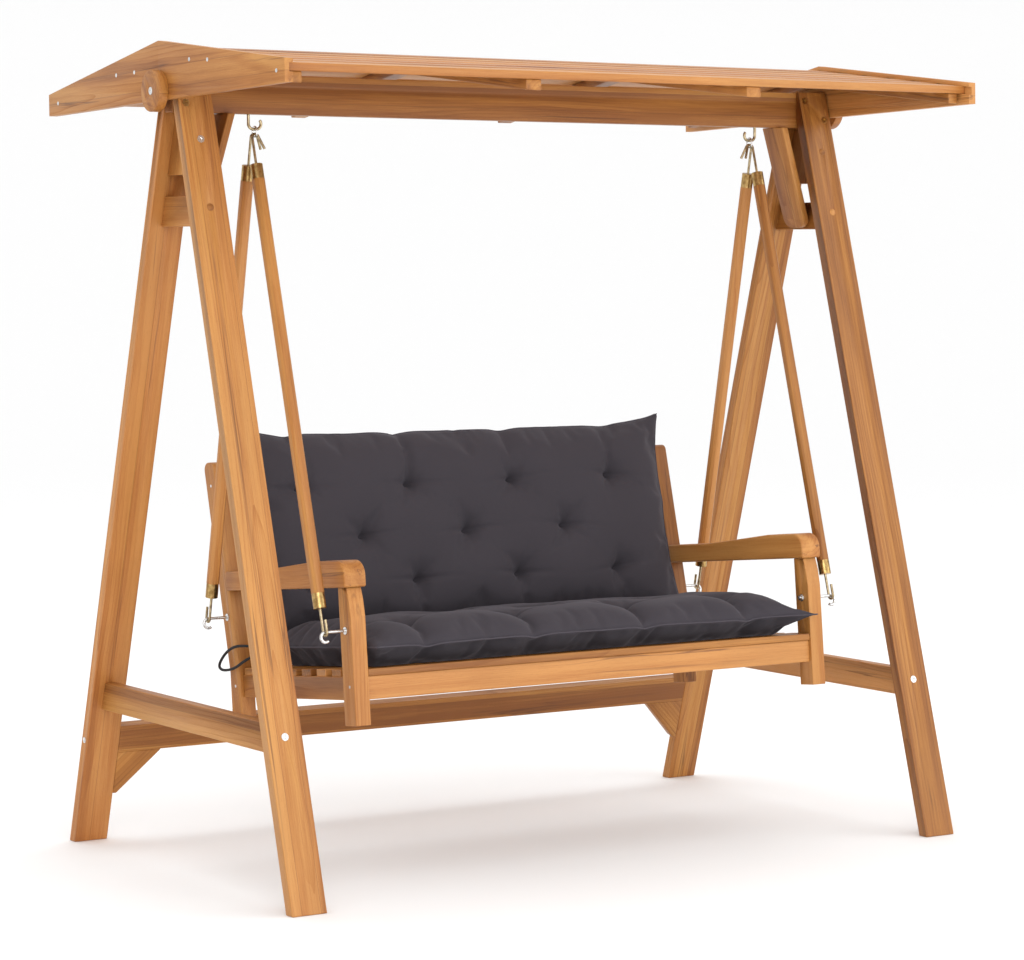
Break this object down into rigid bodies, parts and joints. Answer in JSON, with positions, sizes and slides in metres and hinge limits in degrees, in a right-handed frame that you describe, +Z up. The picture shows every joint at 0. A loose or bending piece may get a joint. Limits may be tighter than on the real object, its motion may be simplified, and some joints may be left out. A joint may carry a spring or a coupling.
{
  "type": "canopy swing bench",
  "caption": "Teak garden swing bench on a leaning-leg frame, with a tilting slatted canopy and button-tufted cushions.",
  "frame": {"origin": "on the ground below the middle of the object's bounding box", "axes": "+Z up, the seat's front faces -Y, +X to the right seen from behind the front"},
  "size_m": [1.916, 1.1409, 1.868],
  "materials": {
    "teak": "oiled, satin",
    "brass": "satin",
    "zinc": "zinc plated, satin",
    "cushion_cloth": "matt woven cloth"
  },
  "bodies": {
    "frame": {"beam_connector_bolts": "brass", "beam_hook_left": "zinc", "beam_hook_nuts": "zinc", "beam_hook_right": "zinc", "cross_rail_left": "teak", "cross_rail_right": "teak", "frame_plugs": "teak", "frame_screws": "zinc", "head_block_left": "teak", "head_block_right": "teak", "knee_brace_left": "teak", "knee_brace_right": "teak", "leg_front_left": "teak", "leg_front_right": "teak", "leg_rear_left": "teak", "leg_rear_right": "teak", "pivot_bolts": "zinc", "rear_stretcher": "teak", "side_rail_left": "teak", "side_rail_right": "teak", "stretcher_gussets": "teak", "top_beam": "teak"},
    "canopy": {"canopy_slats_front": "teak", "canopy_slats_rear": "teak", "gable_left": "teak", "gable_right": "teak", "gable_screws": "zinc", "pivot_disc_left": "teak", "pivot_disc_right": "teak", "rafters_inner": "teak", "rafters_outer": "teak"},
    "hanger_left": {"hanger_link_left": "zinc"},
    "hanger_right": {"hanger_link_right": "zinc"},
    "bench": {"arm_left": "teak", "arm_right": "teak", "back_cushion": "cushion_cloth", "back_low_rail": "teak", "back_slats": "teak", "back_top_rail": "teak", "bench_hook_bolts": "zinc", "bench_hook_nuts": "zinc", "bench_screws": "zinc", "front_post_left": "teak", "front_post_right": "teak", "rear_post_left": "teak", "rear_post_right": "teak", "rod_ferrules": "brass", "rod_front_left": "teak", "rod_front_right": "teak", "rod_hooks": "zinc", "rod_rear_left": "teak", "rod_rear_right": "teak", "seat_centre_rail": "teak", "seat_cushion": "cushion_cloth", "seat_front_rail": "teak", "seat_rear_rail": "teak", "seat_side_rail_left": "teak", "seat_side_rail_right": "teak", "seat_slats": "teak"}
  },
  "joints": [
    {"name": "canopy_tilt", "type": "hinge", "parent": "frame", "child": "canopy", "pos_m": [0, 0, 1.757], "axis": [1, 0, 0], "range_deg": [-15, 15]},
    {"name": "swing", "type": "hinge", "parent": "frame", "child": "bench", "pos_m": [0, 0, 1.678], "axis": [1, 0, 0], "range_deg": [-20, 20]},
    {"name": "link_left", "type": "hinge", "parent": "frame", "child": "hanger_left", "pos_m": [-0.697, 0, 1.678], "axis": [1, 0, 0], "range_deg": [-20, 20]},
    {"name": "link_right", "type": "hinge", "parent": "frame", "child": "hanger_right", "pos_m": [0.697, 0, 1.678], "axis": [1, 0, 0], "range_deg": [-20, 20]}
  ],
  "couplings": [
    {"joint": "link_left", "follows": "swing", "ratio": 1},
    {"joint": "link_right", "follows": "swing", "ratio": 1}
  ]
}
